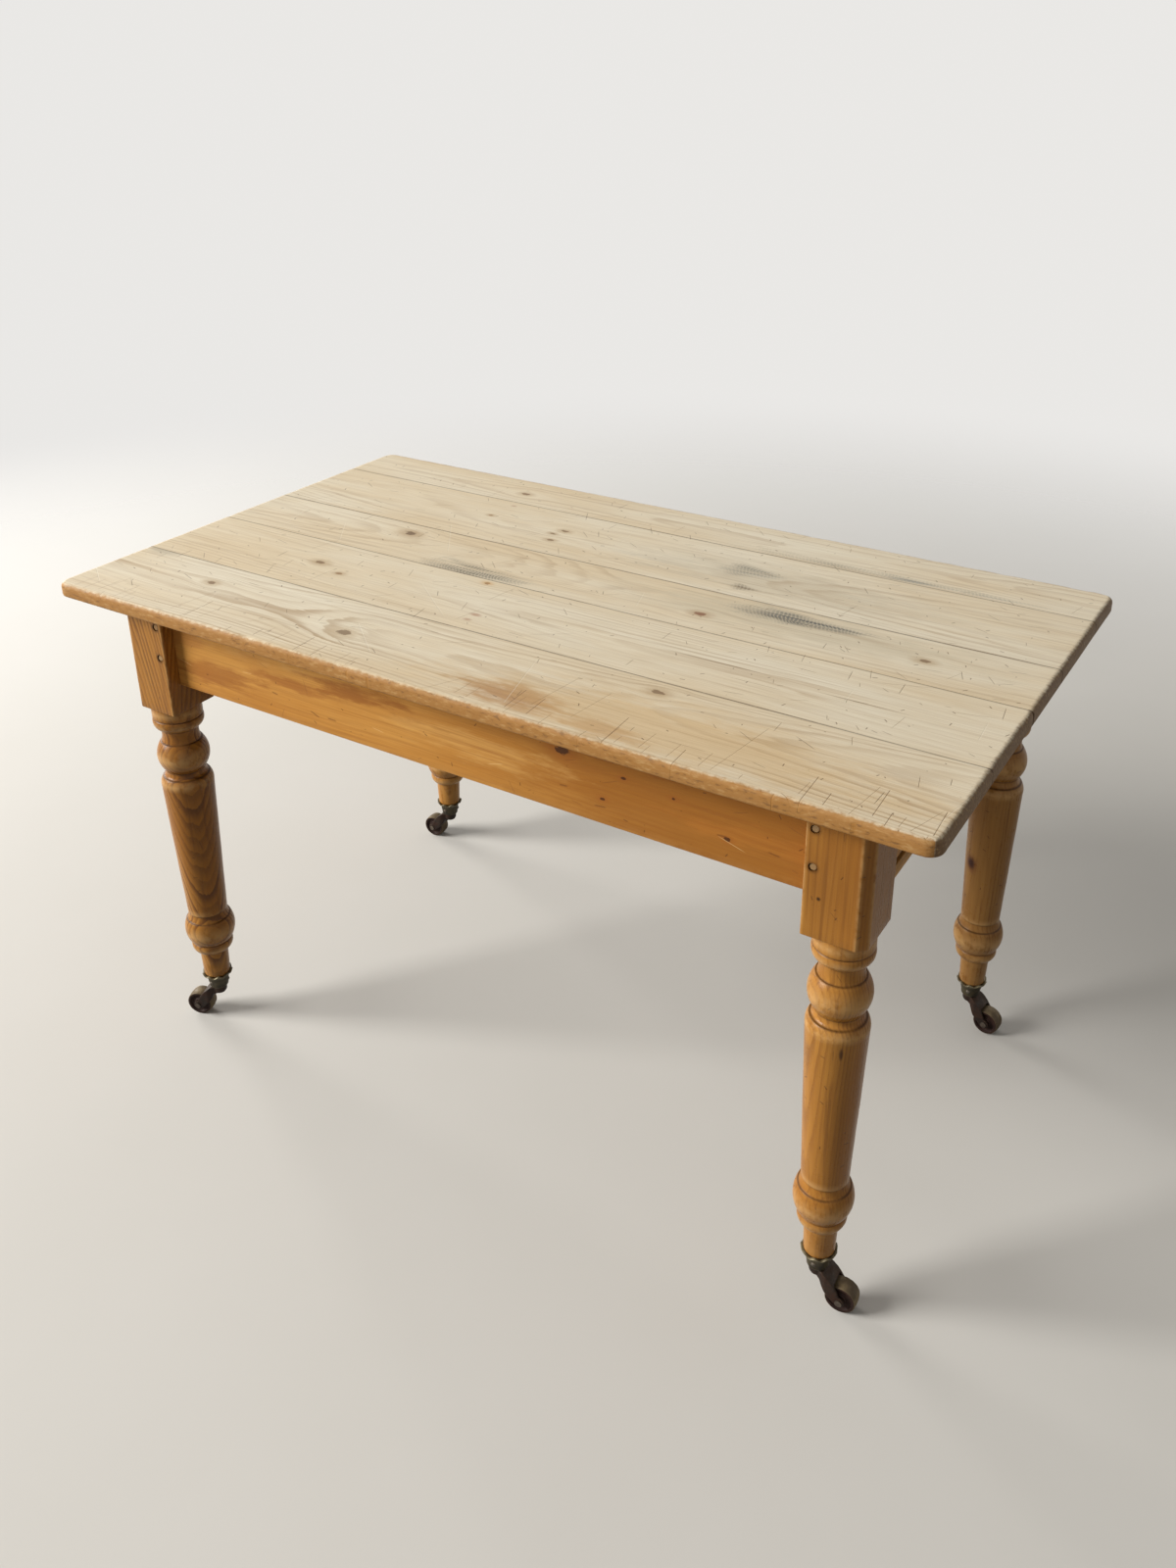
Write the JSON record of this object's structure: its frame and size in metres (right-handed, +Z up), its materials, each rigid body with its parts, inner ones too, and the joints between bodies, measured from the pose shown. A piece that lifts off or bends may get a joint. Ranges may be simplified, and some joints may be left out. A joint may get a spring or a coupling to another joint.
{
  "type": "farmhouse table",
  "caption": "Rectangular pine farmhouse table with a scrubbed plank top, pegged aprons, turned legs on castors and a drawer in one end.",
  "frame": {"origin": "on the floor under the centre of the top", "axes": "+X along the table's length towards the drawer end, +Y away from the viewer across the width, +Z up"},
  "size_m": [1.27, 0.711, 0.742],
  "materials": {
    "scrubbed_top": "scrubbed, satin",
    "waxed_frame": "waxed, satin",
    "turned_legs": "waxed, satin",
    "inner_wood": "bare, matt",
    "pegs": "bare, matt",
    "castor_cups": "tarnished",
    "castor_iron": "dark, worn",
    "castor_axles": "worn bright",
    "castor_wheels": "rusty, worn tread",
    "screws": "dull"
  },
  "bodies": {
    "table": {"long_apron_pegs": "pegs", "end_apron_pegs": "pegs", "top_screws": "screws", "top_dowels": "pegs", "top_board_front": "scrubbed_top", "top_board_second": "scrubbed_top", "top_board_middle": "scrubbed_top", "top_board_fourth": "scrubbed_top", "top_board_back": "scrubbed_top", "cross_rail": "inner_wood", "apron_front": "waxed_frame", "apron_back": "waxed_frame", "apron_left": "waxed_frame", "drawer_rail_lower": "waxed_frame", "drawer_rail_upper": "waxed_frame", "drawer_runner_front": "inner_wood", "drawer_runner_back": "inner_wood", "drawer_guide_front": "inner_wood", "drawer_guide_back": "inner_wood", "drawer_kicker_front": "inner_wood", "drawer_kicker_back": "inner_wood", "drawer_stops": "inner_wood", "rubbed_blocks": "inner_wood", "leg_front_left": "turned_legs", "leg_front_right": "turned_legs", "leg_back_left": "turned_legs", "leg_back_right": "turned_legs", "castor_cup_front_left": "castor_cups", "castor_cup_front_right": "castor_cups", "castor_cup_back_left": "castor_cups", "castor_cup_back_right": "castor_cups", "castor_cup_screws": "screws"},
    "drawer": {"drawer_front": "waxed_frame", "drawer_side_front": "inner_wood", "drawer_side_back": "inner_wood", "drawer_back": "inner_wood", "drawer_bottom": "inner_wood", "drawer_knob": "waxed_frame"},
    "castor_front_left": {"castor_horn_front_left": "castor_iron", "castor_pin_front_left": "castor_iron", "castor_axle_front_left": "castor_axles"},
    "wheel_front_left": {"castor_wheel_front_left": "castor_wheels"},
    "castor_front_right": {"castor_horn_front_right": "castor_iron", "castor_pin_front_right": "castor_iron", "castor_axle_front_right": "castor_axles"},
    "wheel_front_right": {"castor_wheel_front_right": "castor_wheels"},
    "castor_back_left": {"castor_horn_back_left": "castor_iron", "castor_pin_back_left": "castor_iron", "castor_axle_back_left": "castor_axles"},
    "wheel_back_left": {"castor_wheel_back_left": "castor_wheels"},
    "castor_back_right": {"castor_horn_back_right": "castor_iron", "castor_pin_back_right": "castor_iron", "castor_axle_back_right": "castor_axles"},
    "wheel_back_right": {"castor_wheel_back_right": "castor_wheels"}
  },
  "joints": [
    {"name": "drawer_slide", "type": "slide", "parent": "table", "child": "drawer", "axis": [1, 0, 0], "range_m": [0, 0.36]},
    {"name": "swivel_front_left", "type": "hinge", "parent": "table", "child": "castor_front_left", "pos_m": [-0.5065, -0.288, 0.0565], "axis": [0, 0, 1], "continuous": true},
    {"name": "roll_front_left", "type": "hinge", "parent": "castor_front_left", "child": "wheel_front_left", "pos_m": [-0.53845, -0.29963, 0.0205], "axis": [0.342, -0.9397, 0], "continuous": true},
    {"name": "swivel_front_right", "type": "hinge", "parent": "table", "child": "castor_front_right", "pos_m": [0.5225, -0.288, 0.0565], "axis": [0, 0, 1], "continuous": true},
    {"name": "roll_front_right", "type": "hinge", "parent": "castor_front_right", "child": "wheel_front_right", "pos_m": [0.55642, -0.28563, 0.0205], "axis": [-0.0698, 0.9976, 0], "continuous": true},
    {"name": "swivel_back_left", "type": "hinge", "parent": "table", "child": "castor_back_left", "pos_m": [-0.5065, 0.305, 0.0565], "axis": [0, 0, 1], "continuous": true},
    {"name": "roll_back_left", "type": "hinge", "parent": "castor_back_left", "child": "wheel_back_left", "pos_m": [-0.54045, 0.30322, 0.0205], "axis": [0.0523, -0.9986, 0], "continuous": true},
    {"name": "swivel_back_right", "type": "hinge", "parent": "table", "child": "castor_back_right", "pos_m": [0.5225, 0.305, 0.0565], "axis": [0, 0, 1], "continuous": true},
    {"name": "roll_back_right", "type": "hinge", "parent": "castor_back_right", "child": "wheel_back_right", "pos_m": [0.55617, 0.30027, 0.0205], "axis": [0.1392, 0.9903, 0], "continuous": true}
  ]
}
